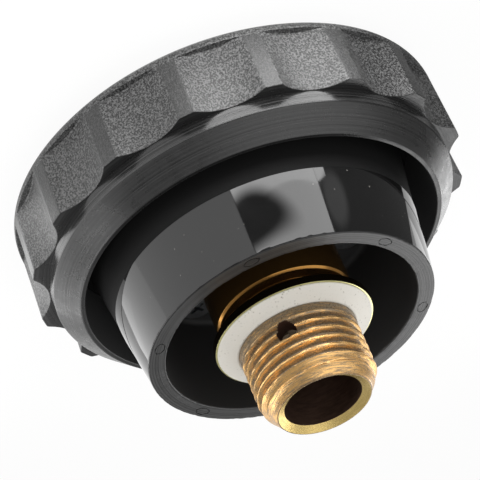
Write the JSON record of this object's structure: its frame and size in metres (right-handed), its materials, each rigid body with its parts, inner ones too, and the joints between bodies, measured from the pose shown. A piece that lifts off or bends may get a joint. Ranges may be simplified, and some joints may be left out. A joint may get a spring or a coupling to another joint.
{
  "type": "safety filler cap",
  "caption": "Lobed black safety filler cap with an inner skirt and a brass threaded plug with a conical seal, idling clutch and relief valve.",
  "frame": {"origin": "centre of the knob's flat top face, which the cap stands on", "axes": "+Z along the plug's axis, from the top face towards the thread; +X runs through a land of the grip"},
  "size_m": [0.0776, 0.0776, 0.0547],
  "materials": {
    "grip_plastic": "fine spark-eroded black plastic",
    "cup_plastic": "polished black plastic",
    "brass": "turned brass",
    "bronze": "sintered bronze",
    "white_ptfe": "off-white sealing plastic",
    "black_rubber": "black rubber",
    "spring_steel": "drawn spring steel",
    "zinc_steel": "zinc-plated steel",
    "stainless_steel": "turned stainless steel"
  },
  "bodies": {
    "plug": {"plug_body": "brass", "sealing_ring": "white_ptfe", "valve_seat": "brass", "seat_o_ring": "black_rubber", "seat_ring_nut": "brass", "spring_plate": "stainless_steel", "adjusting_screw": "zinc_steel", "lock_nut": "zinc_steel", "stop_washer": "zinc_steel", "spindle_clip": "spring_steel", "return_spring": "spring_steel", "valve_spring": "spring_steel"},
    "carrier": {"hub_bush": "bronze", "bush_clip": "spring_steel"},
    "knob": {"grip_cap": "grip_plastic", "skirt_cup": "cup_plastic", "clutch_ring": "zinc_steel", "cup_screws": "zinc_steel", "thrust_washer": "white_ptfe"},
    "valve": {"valve_piston": "stainless_steel", "valve_seal": "black_rubber"}
  },
  "joints": [
    {"name": "knob_push", "type": "slide", "parent": "plug", "child": "carrier", "axis": [0, 0, 1], "range_m": [0, 0.003], "stiffness_N_per_m": 2000, "springref_m": -0.004, "deforming": ["return_spring"]},
    {"name": "knob_spin", "type": "hinge", "parent": "carrier", "child": "knob", "pos_m": [0, 0, 0], "axis": [0, 0, 1], "continuous": true},
    {"name": "valve_lift", "type": "slide", "parent": "plug", "child": "valve", "axis": [0, 0, -1], "range_m": [0, 0.0012], "stiffness_N_per_m": 3000, "springref_m": -0.0025, "deforming": ["valve_spring"]}
  ]
}
